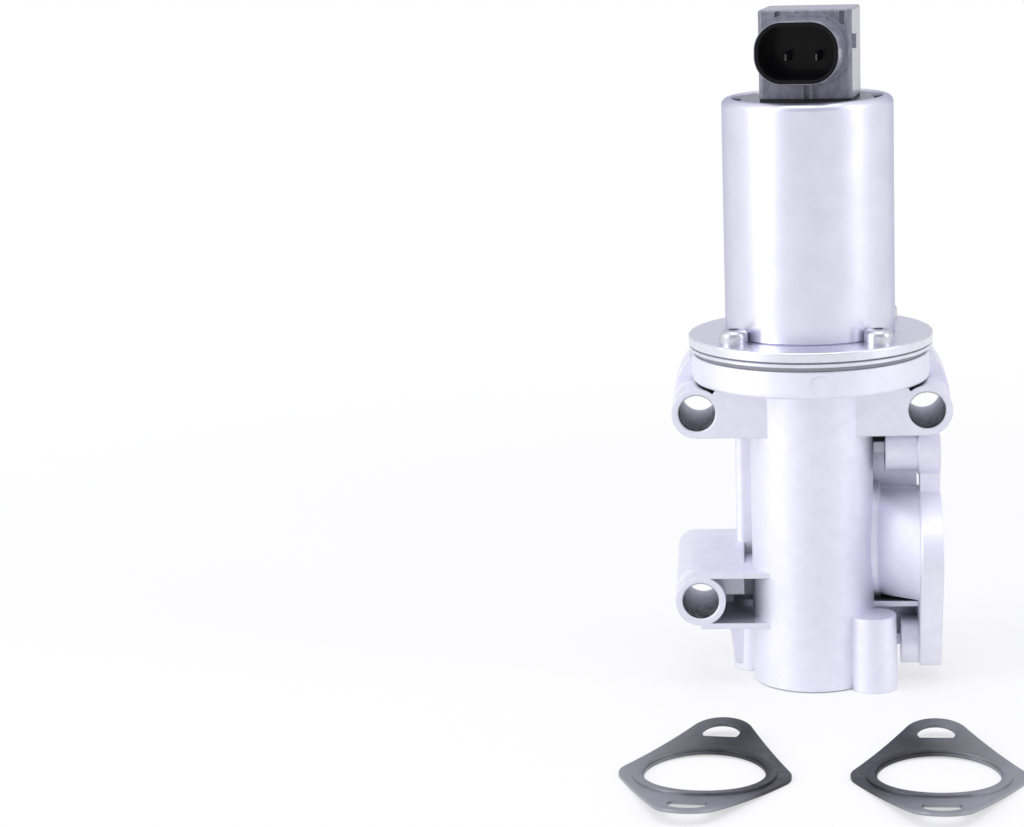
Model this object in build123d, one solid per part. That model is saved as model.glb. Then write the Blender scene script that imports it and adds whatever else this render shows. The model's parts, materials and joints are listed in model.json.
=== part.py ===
from build123d import *
import math
import os

# Solenoid exhaust gas valve: a cast housing with three mounting lugs, a side port and a
# bottom port, a poppet valve on a guided stem, and a plug-in solenoid on top.
# Millimetres. The bottom port is centred on the origin, +Z runs up the stem,
# -Y faces the viewer of the lug fronts, and the side port opens towards +X.

# Clearances
slip = 0.02               # radial gap of pieces pressed or welded together
guide_clearance = 0.05    # radial running gap of the stem in its two bearings
free_clearance = 0.5      # radial gap of holes that the stem only passes through
screw_clearance = 0.1     # radial gap of a screw in the holes of the clamped plates
past = 1.0                # how far cutting shapes run past the faces they open

# Housing barrel and top ring
body_radius = 15.3
ring_underside = 78.0
ring_thickness = 6.8
ring_rim = 4.5            # from the cover screws' axes out to the ring's edge
body_fillet = 1.5
cast_round = 0.8
machined_edge = 0.4
ring_mark_x = 2.0
ring_mark_radius = 2.3
ring_mark_depth = 0.3

# Housing inside
chamber_wall = 3.8
port_roof_wall = 2.0
guide_web = 12.0
cavity_wall = 2.8
seat_ledge = 1.0

# Mounting lugs, all three bored along Y for M8 screws
lug_x = 28.3
lug_front = 10.8
lug_back = 15.5
lug_bore_radius = 4.5
lug_wall = 1.8
lug_chamfer = 0.4
top_lug_drop = 6.9        # from the ring's underside down to the upper bores
low_lug_z = 22.9
gusset_start = 1.0        # y where the gussets behind the upper lugs begin
gusset_overhang = 0.9     # how far the gussets' upper ends stand out past the ring
gusset_top_drop = 1.6
rib_thickness = 1.4
rib_overhang = 0.2
back_wall_half_width = 19.4
back_wall_front = 9.0
back_wall_thickness = 4.5
back_wall_round = 2.0
pad_back_rise = 5.7       # how much the lower lug's block climbs towards its back
pad_corner = 4.5
prop_foot_reach = 4.9     # the prop below the lower lug, out from the barrel at its foot
prop_foot_z = 2.0
prop_front = 5.0

# Side port
port_height = 34.6
port_bore_radius = 11.5
port_wall = 2.5
port_collar = 0.9
port_collar_reach = 1.6
neck_half_depth = 9.0     # the neck is an upright oval where it leaves the barrel,
neck_y = 4.5              # set back so that it hides behind the barrel's side
neck_flare = 19.0         # half depth of the neck where it meets the flange
port_face_x = 31.8
port_flange_thickness = 5.6
port_flange_round = 0.6
port_bolt_spacing = 50.0
port_bolt_radius = 3.4
port_ear_radius = 7.0
port_flat_drop = 30.9     # from the port's centre to the flange's cut-off ends
port_half_width = 20.0
port_waist_radius = 8.0
port_oval_height = 14.5   # above the port the flange is an oval this high
port_web_width = 7.0      # the narrow web between that oval and the upper ear
port_ear_lean = 1.6       # how far the upper ear leans back above its screw hole
port_boss_radius = 6.0
port_rib_drop = 15.2      # from the port's centre down to the rib beside the barrel
port_rib_front = 2.0
upper_boss_depth = 13.6
lower_boss_depth = 10.0
port_bolt_depth = 12.0
port_lead_chamfer = 0.5

# Bottom port and its two screw bosses
base_bolt_circle = 35.5
base_bolt_angle = -34.0
base_bolt_radius = 2.5
base_bolt_depth = 14.0
base_boss_radius = 5.7
base_boss_height = 19.0
base_boss_draft = 0.3
base_web_width = 9.1      # the webs that join those bosses to the barrel

# Plates between housing and solenoid
housing_gasket_thickness = 1.1
spacer_thickness = 0.9
solenoid_gasket_thickness = 0.5
gasket_setback = 0.5      # how far the two round gaskets lie inside the plates' rims
plate_overhang = 0.8      # how far the spacer stands out past the ring
cover_thickness = 2.3
cover_overhang = 0.95
cover_edge = 0.5
stack_bore_gap = 0.4
gasket_edge = 0.1
spacer_edge = 0.2

# Four M4 screws with round heads and hexagon sockets
screw_count = 4
screw_first_angle = 41.1
screw_radius = 2.0
screw_head_radius = 3.5
screw_head_height = 3.6
screw_dome = 1.6
screw_can_gap = 0.3       # from the screw heads to the can
screw_socket_flats = 2.5
screw_socket_depth = 1.8
screw_grip = 5.6          # thread length inside the ring
screw_hole_spare = 0.6

# Valve train
valve_lift = 6.0
stem_radius = 3.0
stem_top_radius = 2.5
seat_underside = 14.0
seat_thickness = 4.0
seat_bore_radius = 7.5
seat_cone = 1.3
seat_gap = 0.2
disc_lip = 1.7            # how far the disc reaches past the seat's bore
disc_depth = 3.0
guide_radius = 5.0
guide_nose = 5.5          # how far the guide stands down into the chamber
seal_height = 1.6
spring_washer_thickness = 0.8
spring_wire_radius = 0.7
spring_mean_radius = 8.0
spring_wire_sides = 12    # the wire is drawn with flats, which keeps its surface light
spring_turns = 5.0
retainer_drop = 4.6       # from the ring's top down to the retainer's top
retainer_thickness = 2.0
retainer_hub_height = 2.0
retainer_hub_wall = 1.8
clip_thickness = 0.8
clip_groove_depth = 0.6
clip_width = 1.6
clip_opening = 3.4

# Solenoid
can_radius = 21.0
can_wall = 1.5
can_height = 58.5
can_lip = 1.0
can_lip_thickness = 0.8
can_shoulder = 1.8
spigot_height = 2.0
pole_height = 9.4         # from the spigot's top to the pole face
shim_thickness = 0.3
armature_radius = 8.5
armature_length = 20.5
armature_gap = 0.4        # radial gap between armature and tube
armature_end_gap = 0.5    # axial gap left at full lift, and above the armature at rest
armature_vents = 4
armature_vent_radius = 1.0
tube_wall = 0.8
bobbin_wall = 1.3
bobbin_flange = 2.0
bobbin_outer_gap = 0.4
winding_setback = 1.0
top_plate_thickness = 2.7
plate_notch_width = 2.2
plate_notch_half_angle = 10.0
bearing_wall = 1.5
stem_engagement = 12.0    # stem length inside the upper bearing at rest

# Connector head, turned a little about Z so that the socket looks past the viewer
head_turn = -9.0
head_width = 22.8
head_depth = 17.0
head_height = 21.4
head_offset = 0.8         # how far the block sits to the side of the can's axis
head_round = 1.2
head_pad_thickness = 0.8
head_pad_setback = 0.3
socket_height = 12.0      # above the head's foot
socket_width = 20.4
socket_tall = 15.0
socket_corner = 6.8
socket_wall = 1.1
socket_reach = 12.0
socket_depth = 13.5
socket_offset = 0.6
collar_width = 1.0
collar_height = 1.6
notch_width = 1.2
notch_tall = 3.2
notch_deep = 1.0
notch_spacing = 15.6
notch_offset = 2.1
foot_rib_width = 0.7
foot_rib_gap = 2.0
foot_rib_proud = 0.8
nub_width = 1.8
nub_tall = 3.4
nub_proud = 1.0
pin_spacing = 7.4
pin_drop = 1.6            # from the socket's middle down to the pins
pin_thickness = 0.8
pin_tall = 2.0
pin_setback = 7.5         # from the socket's mouth to the pin tips
leg_x = 9.0
leg_y = 6.6
leg_size = 1.0
post_radius = 1.3
post_clearance = 0.1

# Loose port gaskets, pressed steel with a slight bow, lying in front of the valve
port_gasket_thickness = 0.8
port_gasket_margin = 2.5  # bore of the gasket beyond the port's bore
port_gasket_ear_radius = 7.6
port_gasket_hole_radius = 4.5
port_gasket_hole_flat = 2.4
port_gasket_bow_radius = 185.0
port_gasket_trim = 5.0    # how far the bowed sheet is made larger before it is cut out
bead_setback = 0.4
bead_width = 2.2
bead_height = 0.5
left_gasket_place = (-26.0, -77.2, 7.6)
right_gasket_place = (27.2, -78.9, 1.6)

# Heights worked out from the sizes above
ring_top = ring_underside + ring_thickness
spacer_bottom = ring_top + housing_gasket_thickness
spacer_top = spacer_bottom + spacer_thickness
cover_bottom = spacer_top + solenoid_gasket_thickness
cover_top = cover_bottom + cover_thickness
can_top = cover_top + can_height
top_plate_top = can_top - can_lip_thickness
top_plate_bottom = top_plate_top - top_plate_thickness
spigot_top = cover_top + spigot_height
pole_face = spigot_top + pole_height
armature_bottom = pole_face + shim_thickness + valve_lift + armature_end_gap
armature_top = armature_bottom + armature_length
seat_top = seat_underside + seat_thickness
chamber_top = port_height + port_bore_radius + port_roof_wall
cavity_floor = chamber_top + guide_web
retainer_top = ring_top - retainer_drop
retainer_bottom = retainer_top - retainer_thickness
spring_bottom = cavity_floor + spring_washer_thickness
top_lug_z = ring_underside - top_lug_drop
head_foot = top_plate_top + head_pad_thickness

# Radii and reaches worked out from the sizes above
screw_circle_radius = can_radius + screw_can_gap + screw_head_radius
ring_radius = screw_circle_radius + ring_rim
chamber_radius = body_radius - chamber_wall
seat_pocket_radius = chamber_radius + seat_ledge
cavity_radius = body_radius - cavity_wall
lug_radius = lug_bore_radius + lug_wall
spacer_radius = ring_radius + plate_overhang
cover_radius = ring_radius + cover_overhang
stack_bore_radius = cavity_radius + stack_bore_gap
tube_inner_radius = armature_radius + armature_gap
tube_outer_radius = tube_inner_radius + tube_wall
can_bore_radius = can_radius - can_wall
bobbin_bore_radius = tube_outer_radius + slip
bobbin_core_radius = bobbin_bore_radius + bobbin_wall
bobbin_bottom = spigot_top
bobbin_top = top_plate_bottom - bobbin_flange
hub_bottom = armature_top + 2 * armature_end_gap + clip_thickness
bearing_radius = stem_top_radius + guide_clearance + bearing_wall
stem_top = hub_bottom + stem_engagement
port_radius = port_bore_radius + port_wall
port_flange_back = port_face_x - port_flange_thickness
port_gasket_bore_radius = port_bore_radius + port_gasket_margin
clip_radius = stem_radius + clip_width
head_front = -head_depth / 2
socket_mouth = head_front - socket_reach
socket_z = head_foot + socket_height
pin_z = socket_z - pin_drop


# Helpers

def along_y(face, start, end):
    """Stretch a face drawn in X and Z from y = start to y = end."""
    return extrude(Plane.XZ.offset(-end) * face, amount=end - start)


def along_x(face, start, end):
    """Stretch a face drawn in Y and Z from x = start to x = end."""
    return extrude(Plane.YZ.offset(start) * face, amount=end - start)


def upright(face, start, end):
    """Stretch a face drawn in X and Y from z = start to z = end."""
    return extrude(Plane.XY.offset(start) * face, amount=end - start)


def cylinder(radius, start, end):
    return upright(Circle(radius), start, end)


def ring(inner, outer, start, end):
    return upright(Circle(outer) - Circle(inner), start, end)


def rounded_outline(corners):
    """A closed outline of straight runs; each corner is (x, y, radius of its rounding)."""
    lines = []
    count = len(corners)
    starts = []
    ends = []
    middles = []
    for i, (x, y, radius) in enumerate(corners):
        here = Vector(x, y)
        before = (Vector(*corners[i - 1][:2]) - here).normalized()
        after = (Vector(*corners[(i + 1) % count][:2]) - here).normalized()
        half = math.radians(before.get_angle(after)) / 2
        reach = radius / math.tan(half)
        bisector = (before + after).normalized()
        starts.append(here + before * reach)
        ends.append(here + after * reach)
        middles.append(here + bisector * (radius / math.sin(half) - radius))
    for i, (x, y, radius) in enumerate(corners):
        if radius > 0:
            lines.append(ThreePointArc(starts[i], middles[i], ends[i]))
        lines.append(Line(ends[i], starts[(i + 1) % count]))
    return make_face(Wire(lines))


def turned(corners):
    """Revolve an outline of (radius, height, rounding) corners about the stem's axis."""
    return revolve(Plane.XZ * rounded_outline(corners), Axis.Z)


def turned_about_z(shape, angle):
    return Rot(0, 0, angle) * shape


# Cast housing

def barrel():
    edge = body_radius - machined_edge
    return turned([
        (0, 0, 0),
        (edge, 0, 0),
        (body_radius, machined_edge, 0),
        (body_radius, ring_underside, body_fillet),
        (ring_radius, ring_underside, cast_round),
        (ring_radius, ring_top, machined_edge),
        (0, ring_top, 0),
    ])


def top_lug(side):
    """One upper lug: a bored eye whose flat web meets the barrel flush at its front."""
    eye = Pos(side * lug_x, top_lug_z) * Circle(lug_radius)
    bottom = top_lug_z - lug_radius
    web_top = side * (lug_x - lug_radius)
    web = make_face(Polyline(
        (0, bottom),
        (side * lug_x, bottom),
        (side * lug_x, top_lug_z),
        (web_top, ring_underside + cast_round),
        (0, ring_underside + cast_round),
        close=True,
    ))
    front = along_y(eye + web, -lug_front, lug_back)
    return front + along_y(gusset_outline(side), gusset_start, lug_back)


def gusset_outline(side):
    """The gusset above an upper lug: it rises straight and then curves in to the ring."""
    outer = side * (lug_x + lug_radius)
    top = ring_top - gusset_top_drop
    curve = TangentArc((outer, top_lug_z), (side * (ring_radius + gusset_overhang), top),
                       tangent=(0, 1))
    rest = Polyline(curve @ 1, (0, top), (0, top_lug_z), (outer, top_lug_z))
    return make_face(Wire([curve, *rest.edges()]))


def low_lug():
    """The lower lug: a bored eye tied to the barrel by two thin ribs and a sloping block."""
    x = -lug_x
    eye = along_y(Pos(x, low_lug_z) * Circle(lug_radius), -lug_front, lug_back)
    top = low_lug_z + lug_radius
    block = along_x(make_face(Polyline(
        (-lug_front + lug_radius, low_lug_z),
        (-lug_front + lug_radius, top),
        (lug_back, top + pad_back_rise),
        (lug_back, low_lug_z),
        close=True,
    )), x - lug_radius, -back_wall_half_width + back_wall_round)
    corner = block.edges().filter_by(GeomType.LINE).sort_by(Axis.X)[:4].sort_by(Axis.Z)[-1]
    block = fillet(corner, pad_corner)
    pocket_back = along_y(Pos(x, (rib_z(-1) + low_lug_z) / 2) * Rectangle(
        lug_x - body_radius, low_lug_z - rib_z(-1), align=(Align.MIN, Align.CENTER)),
        back_wall_front, lug_back)
    ribs = [
        Pos(0, 0, rib_z(side)) * along_y(
            Rectangle(lug_x, rib_thickness, align=(Align.MAX, Align.CENTER)),
            -lug_front, back_wall_front + back_wall_round)
        for side in (-1, 1)
    ]
    return eye + block + pocket_back + ribs[0] + ribs[1] + prop()


def rib_z(side):
    """The height of the rib below (-1) or above (+1) the lower lug."""
    return low_lug_z + side * (lug_radius + rib_overhang)


def prop():
    """The web below the lower lug: it stands on the foot and widens up to the lug's rib."""
    outline = make_face(Polyline(
        (0, prop_foot_z),
        (-body_radius - prop_foot_reach, prop_foot_z),
        (-lug_x + lug_radius, rib_z(-1)),
        (0, rib_z(-1)),
        close=True,
    ))
    return along_y(outline, prop_front, back_wall_front + back_wall_thickness)


def back_wall():
    """The wall that ties the lugs together behind the barrel."""
    bottom = rib_z(-1) - rib_thickness / 2
    height = ring_underside + cast_round - bottom
    outline = rounded_outline([
        (-back_wall_half_width, back_wall_front, back_wall_round),
        (back_wall_half_width, back_wall_front, back_wall_round),
        (back_wall_half_width, back_wall_front + back_wall_thickness, back_wall_round),
        (-back_wall_half_width, back_wall_front + back_wall_thickness, back_wall_round),
    ])
    return upright(outline, bottom, bottom + height)


def port_outline(ear_radius, flat):
    """The two-bolt outline of the side port, upright, cut off flat at both ends."""
    ear_y = port_bolt_spacing / 2
    waist_x = port_half_width - port_waist_radius
    tilt = (math.acos((ear_radius - port_waist_radius) / math.hypot(waist_x, ear_y))
            - math.atan2(ear_y, waist_x))
    reach = ear_y * math.sin(tilt) + ear_radius
    tip = reach / math.sin(tilt)
    side = reach / math.cos(tilt)
    outline = rounded_outline([
        (side, 0, port_waist_radius),
        (0, tip, ear_radius),
        (-side, 0, port_waist_radius),
        (0, -tip, ear_radius),
    ])
    return outline & Rectangle(2 * side, 2 * flat)


def flange_plate(outline):
    """A plate of the port flange's thickness whose back edge is rounded."""
    plate = along_x(Pos(0, port_height) * outline, port_flange_back, port_face_x)
    return fillet(plate.faces().sort_by(Axis.X)[0].edges(), port_flange_round)


def port_flange():
    """The flange: the gasket's outline below, an oval above it and the upper ear on a web."""
    ear_y = port_bolt_spacing / 2
    middle = Plane.XY.offset(port_height)
    lower = flange_plate(port_outline(port_ear_radius, port_flat_drop))
    oval = flange_plate(Ellipse(port_half_width, port_oval_height))
    ear = flange_plate(Pos(0, ear_y) * Circle(port_ear_radius) &
                       Rectangle(2 * port_half_width, 2 * port_flat_drop))
    web = along_x(Pos(0, port_height + ear_y / 2) * Rectangle(port_web_width, ear_y),
                  port_flange_back + port_flange_round, port_face_x)
    ear_top = port_height + port_flat_drop
    lean = make_face(Polyline(
        (port_face_x, port_height + ear_y + port_bolt_radius + machined_edge),
        (port_face_x, ear_top),
        (port_face_x - port_ear_lean, ear_top),
        close=True,
    ))
    upper = split(oval, middle, keep=Keep.TOP) + web + ear
    upper -= along_y(lean, -port_ear_radius - past, port_ear_radius + past)
    return split(lower, middle, keep=Keep.BOTTOM) + upper


def neck(shrink, start, end):
    """The neck's outside, or its passage when shrunk by the wall; it flares towards the flange."""
    root = Pos(neck_y, port_height) * Ellipse(neck_half_depth - shrink, port_radius - shrink)
    straight = along_x(root, start, body_radius)
    mouth = Pos(0, port_height) * (Circle(port_bore_radius) if shrink
                                   else Ellipse(neck_flare, port_radius))
    flare = loft([(Plane.YZ.offset(body_radius) * root).face(),
                  (Plane.YZ.offset(end) * mouth).face()], ruled=True)
    return straight + flare


def side_port():
    """Neck, flange and the two screw bosses behind the flange's ears."""
    into_flange = port_flange_back + machined_edge
    collar = along_x(Pos(neck_y, port_height) * Ellipse(neck_half_depth + port_collar,
                                                        port_radius + port_collar),
                     0, body_radius + port_collar_reach)
    upper = along_x(Pos(0, port_height + port_bolt_spacing / 2) * Circle(port_boss_radius),
                    port_face_x - upper_boss_depth, into_flange)
    lower = along_x(Pos(0, port_height - port_bolt_spacing / 2) * Circle(port_boss_radius),
                    port_face_x - lower_boss_depth, into_flange)
    rib = Pos(0, 0, port_height - port_rib_drop) * along_y(
        Rectangle(into_flange, rib_thickness, align=(Align.MIN, Align.CENTER)),
        -port_rib_front, back_wall_front)
    return port_flange() + neck(0, 0, into_flange) + collar + upper + lower + rib


def port_webs():
    """The webs behind the side port that carry its bosses and close the casting's back."""
    top = port_height + port_bolt_spacing / 2
    bottom = port_height - port_bolt_spacing / 2
    reach = port_flange_back + machined_edge
    wall = upright(Pos(reach / 2, back_wall_front + back_wall_thickness / 2) *
                   Rectangle(reach, back_wall_thickness), bottom, top + rib_thickness)
    shelf = upright(Pos(reach / 2, back_wall_front / 2) * Rectangle(reach, back_wall_front),
                    top - rib_thickness, top + rib_thickness)
    spine = upright(Pos(reach / 2, back_wall_front / 2) * Rectangle(reach, back_wall_front),
                    bottom - rib_thickness, bottom + rib_thickness)
    return wall + shelf + spine


def base_bosses():
    """Two screw bosses beside the bottom port, drafted as a casting is."""
    bosses = []
    for turn in (0, 180):
        angle = base_bolt_angle + turn
        foot = Circle(base_boss_radius + base_boss_draft)
        head = Pos(0, 0, base_boss_height) * Circle(base_boss_radius)
        boss = loft([foot.face(), head.face()])
        web = upright(Pos(-base_bolt_circle / 4, 0) *
                      Rectangle(base_bolt_circle / 2, base_web_width),
                      0, base_boss_height - cast_round)
        boss = Pos(base_bolt_circle / 2, 0) * (boss + web)
        bosses.append(turned_about_z(boss, angle))
    return bosses[0] + bosses[1]


def lug_bores():
    cuts = None
    for x, z in ((-lug_x, top_lug_z), (lug_x, top_lug_z), (-lug_x, low_lug_z)):
        corners = [
            (0, -lug_front - lug_chamfer, 0),
            (lug_bore_radius + 2 * lug_chamfer, -lug_front - lug_chamfer, 0),
            (lug_bore_radius, -lug_front + lug_chamfer, 0),
            (lug_bore_radius, lug_back - lug_chamfer, 0),
            (lug_bore_radius + 2 * lug_chamfer, lug_back + lug_chamfer, 0),
            (0, lug_back + lug_chamfer, 0),
        ]
        bore = Pos(x, 0, z) * (Rot(-90, 0, 0) * turned(corners))
        cuts = bore if cuts is None else cuts + bore
    return cuts


def housing_inside():
    """The gas passage, the guide's bore and the spring cavity, as one shape to cut away."""
    chamber = turned([
        (0, seat_top - past, 0),
        (chamber_radius, seat_top - past, 0),
        (chamber_radius, chamber_top, body_fillet),
        (0, chamber_top, 0),
    ])
    pocket = cylinder(seat_pocket_radius, -past, seat_top)
    mouth = turned([
        (0, -past, 0),
        (seat_pocket_radius + machined_edge + past, -past, 0),
        (seat_pocket_radius, machined_edge, 0),
        (0, machined_edge, 0),
    ])
    guide_bore = cylinder(guide_radius + slip, chamber_top - past, cavity_floor + past)
    cavity = cylinder(cavity_radius, cavity_floor, ring_top + past)
    port = neck(port_wall, chamber_radius * math.cos(math.pi / 4), port_flange_back)
    port += along_x(Pos(0, port_height) * Circle(port_bore_radius), port_flange_back,
                    port_face_x + past)
    port_lead = Pos(port_face_x, 0, port_height) * (Rot(0, 90, 0) * turned([
        (0, -port_lead_chamfer, 0),
        (port_bore_radius, -port_lead_chamfer, 0),
        (port_bore_radius + port_lead_chamfer + past, past, 0),
        (0, past, 0),
    ]))
    return chamber + pocket + mouth + guide_bore + cavity + port + port_lead


def housing_screw_holes():
    """Blind holes for the cover screws, the side port's screws and the base screws."""
    cuts = None
    depth = screw_grip + screw_hole_spare
    for i in range(screw_count):
        hole = Pos(screw_circle_radius, 0) * cylinder(screw_radius + slip, ring_top - depth,
                                                   ring_top + past)
        hole = turned_about_z(hole, screw_first_angle + i * 360 / screw_count)
        cuts = hole if cuts is None else cuts + hole
    for side, depth in ((1, port_bolt_depth), (-1, lower_boss_depth - past)):
        z = port_height + side * port_bolt_spacing / 2
        cuts += along_x(Pos(0, z) * Circle(port_bolt_radius), port_face_x - depth,
                        port_face_x + past)
    for turn in (0, 180):
        hole = Pos(base_bolt_circle / 2, 0) * cylinder(base_bolt_radius, -past, base_bolt_depth)
        cuts += turned_about_z(hole, base_bolt_angle + turn)
    return cuts


def ring_mark():
    """The shallow round spot that the mould leaves on the front of the ring."""
    z = ring_underside + ring_thickness / 2
    return along_y(Pos(ring_mark_x, z) * Circle(ring_mark_radius), -ring_radius - past,
                   -ring_radius + ring_mark_depth)


def valve_housing():
    solid = barrel() + back_wall()
    for side in (-1, 1):
        solid += top_lug(side)
    solid += low_lug()
    solid += side_port() + port_webs()
    solid += base_bosses()
    solid -= lug_bores()
    solid -= housing_inside()
    solid -= housing_screw_holes()
    solid -= ring_mark()
    return solid


# Valve train

def valve_seat():
    """A pressed-in ring whose lower edge is a cone that the disc closes against."""
    outer = seat_pocket_radius - slip
    return turned([
        (seat_bore_radius + seat_cone, seat_underside, 0),
        (outer - machined_edge, seat_underside, 0),
        (outer, seat_underside + machined_edge, 0),
        (outer, seat_top, 0),
        (seat_bore_radius, seat_top, 0),
        (seat_bore_radius, seat_underside + seat_cone, 0),
    ])


def valve_disc():
    """A poppet head, coned to match the seat, with a dished underside."""
    rim = seat_bore_radius + disc_lip
    drop = seat_gap * math.sqrt(2)
    cone_foot = seat_underside + seat_cone - disc_lip - drop
    cone_top = seat_underside + seat_cone + machined_edge - drop
    bore = stem_radius + slip
    return turned([
        (bore, cone_foot - disc_depth + machined_edge, 0),
        (rim - 2 * machined_edge, cone_foot - disc_depth, 0),
        (rim, cone_foot - disc_depth + 2 * machined_edge, 0),
        (rim, cone_foot, 0),
        (seat_bore_radius - machined_edge, cone_top, 0),
        (bore + 2 * machined_edge, cone_top + machined_edge, 0),
        (bore, cone_top + 3 * machined_edge, 0),
    ])


def stem_outline():
    """Corners of the stepped stem, from its foot up, with the two clip grooves."""
    foot = seat_underside + seat_cone - disc_lip - disc_depth - seat_gap * math.sqrt(2)
    low_groove = stem_radius - clip_groove_depth
    top_groove = stem_top_radius - clip_groove_depth
    low_clip = retainer_top
    top_clip = armature_top
    return [
        (0, foot, 0),
        (stem_radius - machined_edge, foot, 0),
        (stem_radius, foot + machined_edge, 0),
        (stem_radius, low_clip, 0),
        (low_groove, low_clip, 0),
        (low_groove, low_clip + clip_thickness, 0),
        (stem_radius, low_clip + clip_thickness, 0),
        (stem_radius, armature_bottom, 0),
        (stem_top_radius, armature_bottom, 0),
        (stem_top_radius, top_clip, 0),
        (top_groove, top_clip, 0),
        (top_groove, top_clip + clip_thickness, 0),
        (stem_top_radius, top_clip + clip_thickness, 0),
        (stem_top_radius, stem_top - machined_edge, 0),
        (stem_top_radius - machined_edge, stem_top, 0),
        (0, stem_top, 0),
    ]


def valve_stem():
    return turned(stem_outline())


def retaining_clip(radius, base):
    """An open spring clip that sits in a groove cut to the given stem radius."""
    groove = radius - clip_groove_depth
    clip = ring(groove + slip, radius + clip_width, base + slip, base + clip_thickness - slip)
    gap = upright(Pos(radius + clip_width, 0) * Rectangle(2 * (radius + clip_width),
                                                          clip_opening * radius / stem_radius),
                  base, base + clip_thickness)
    return clip - gap


def spring_retainer():
    """A cup washer on the stem that the return spring pushes up against its clip."""
    rim = spring_mean_radius + 2 * spring_wire_radius
    bore = stem_radius + slip
    hub = bore + retainer_hub_wall
    return turned([
        (bore, retainer_bottom - retainer_hub_height, 0),
        (hub, retainer_bottom - retainer_hub_height, 0),
        (hub + machined_edge, retainer_bottom, 0),
        (rim, retainer_bottom, 0),
        (rim, retainer_top - machined_edge, 0),
        (rim - machined_edge, retainer_top, 0),
        (bore, retainer_top, 0),
    ])


def stem_guide():
    bore = stem_radius + guide_clearance
    bottom = chamber_top - guide_nose
    top = cavity_floor - seal_height
    return turned([
        (bore, bottom, 0),
        (guide_radius - 3 * machined_edge, bottom, 0),
        (guide_radius, bottom + 5 * machined_edge, 0),
        (guide_radius, top, 0),
        (bore, top, 0),
    ])


def stem_seal():
    """The carbon scraper ring above the guide, held down by the spring's washer."""
    return ring(stem_radius + guide_clearance, guide_radius, cavity_floor - seal_height,
                cavity_floor)


def spring_washer():
    inner = (stem_radius + guide_radius) / 2
    outer = spring_mean_radius + 2 * spring_wire_radius
    return ring(inner, outer, cavity_floor, spring_bottom)


def return_spring():
    """A coil spring that stands on its washer and pushes up against the retainer."""
    foot = spring_bottom + spring_wire_radius
    length = retainer_bottom - spring_wire_radius - foot
    path = Pos(0, 0, foot) * Helix(length / spring_turns, length, spring_mean_radius)
    section = Plane(path @ 0, z_dir=path % 0) * RegularPolygon(spring_wire_radius,
                                                               spring_wire_sides)
    return sweep(section, path=path, is_frenet=True)


# Plates between housing and solenoid

def stack_plate(radius, start, end, edge):
    """A round plate with the stem's opening and holes for the four screws."""
    plate = turned([
        (stack_bore_radius, start, 0),
        (radius - edge, start, 0),
        (radius, start + edge, 0),
        (radius, end - edge, 0),
        (radius - edge, end, 0),
        (stack_bore_radius, end, 0),
    ])
    return plate - screw_shanks(screw_radius + screw_clearance, start - past, end + past)


def screw_shanks(radius, start, end):
    shanks = [
        turned_about_z(Pos(screw_circle_radius, 0) * cylinder(radius, start, end),
                       screw_first_angle + i * 360 / screw_count)
        for i in range(screw_count)
    ]
    return Compound(children=shanks)


def housing_gasket():
    return stack_plate(ring_radius - gasket_setback, ring_top, spacer_bottom, gasket_edge)


def spacer_plate():
    return stack_plate(spacer_radius, spacer_bottom, spacer_top, spacer_edge)


def solenoid_gasket():
    return stack_plate(spacer_radius - gasket_setback, spacer_top, cover_bottom, gasket_edge)


def solenoid_flange():
    """The solenoid's steel base plate, with a low spigot that centres the can."""
    plate = turned([
        (stem_radius + free_clearance, cover_bottom, 0),
        (cover_radius, cover_bottom, 0),
        (cover_radius, cover_top, cover_edge),
        (can_bore_radius - slip, cover_top, 0),
        (can_bore_radius - slip, spigot_top - machined_edge, 0),
        (can_bore_radius - slip - machined_edge, spigot_top, 0),
        (stem_radius + free_clearance, spigot_top, 0),
    ])
    return plate - screw_shanks(screw_radius + screw_clearance, cover_bottom - past,
                                cover_top + past)


def flange_screw():
    """One round-headed screw with a hexagon socket, standing on the flange at x = 0."""
    head_top = cover_top + screw_head_height
    screw = turned([
        (0, ring_top - screw_grip, 0),
        (screw_radius - machined_edge, ring_top - screw_grip, 0),
        (screw_radius, ring_top - screw_grip + machined_edge, 0),
        (screw_radius, cover_top, 0),
        (screw_head_radius, cover_top, 0),
        (screw_head_radius, head_top, screw_dome),
        (0, head_top, 0),
    ])
    hexagon = RegularPolygon(screw_socket_flats / 2, 6, major_radius=False)
    return screw - upright(hexagon, head_top - screw_socket_depth, head_top + past)


def flange_screws():
    screws = [
        turned_about_z(Pos(screw_circle_radius, 0) * flange_screw(),
                       screw_first_angle + i * 360 / screw_count)
        for i in range(screw_count)
    ]
    return Compound(children=screws)


# Solenoid

def solenoid_can():
    """A deep-drawn can whose top is rolled inwards over the top plate."""
    lip = can_bore_radius - can_lip
    return turned([
        (can_bore_radius, cover_top, 0),
        (can_radius - machined_edge, cover_top, 0),
        (can_radius, cover_top + machined_edge, 0),
        (can_radius, can_top, can_shoulder),
        (lip, can_top, machined_edge),
        (lip, top_plate_top, 0),
        (can_bore_radius, top_plate_top, 0),
    ])


def pole_piece():
    """The fixed iron core below the armature."""
    bore = stem_radius + free_clearance
    return turned([
        (bore, spigot_top, 0),
        (tube_outer_radius, spigot_top, 0),
        (tube_outer_radius, spigot_top + bobbin_flange, 0),
        (tube_inner_radius - slip, spigot_top + bobbin_flange, 0),
        (tube_inner_radius - slip, pole_face - machined_edge, 0),
        (tube_inner_radius - slip - machined_edge, pole_face, 0),
        (bore, pole_face, 0),
    ])


def pole_shim():
    """A thin brass washer that keeps the armature from sticking to the pole."""
    return ring(stem_radius + free_clearance, armature_radius, pole_face,
                pole_face + shim_thickness)


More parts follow.
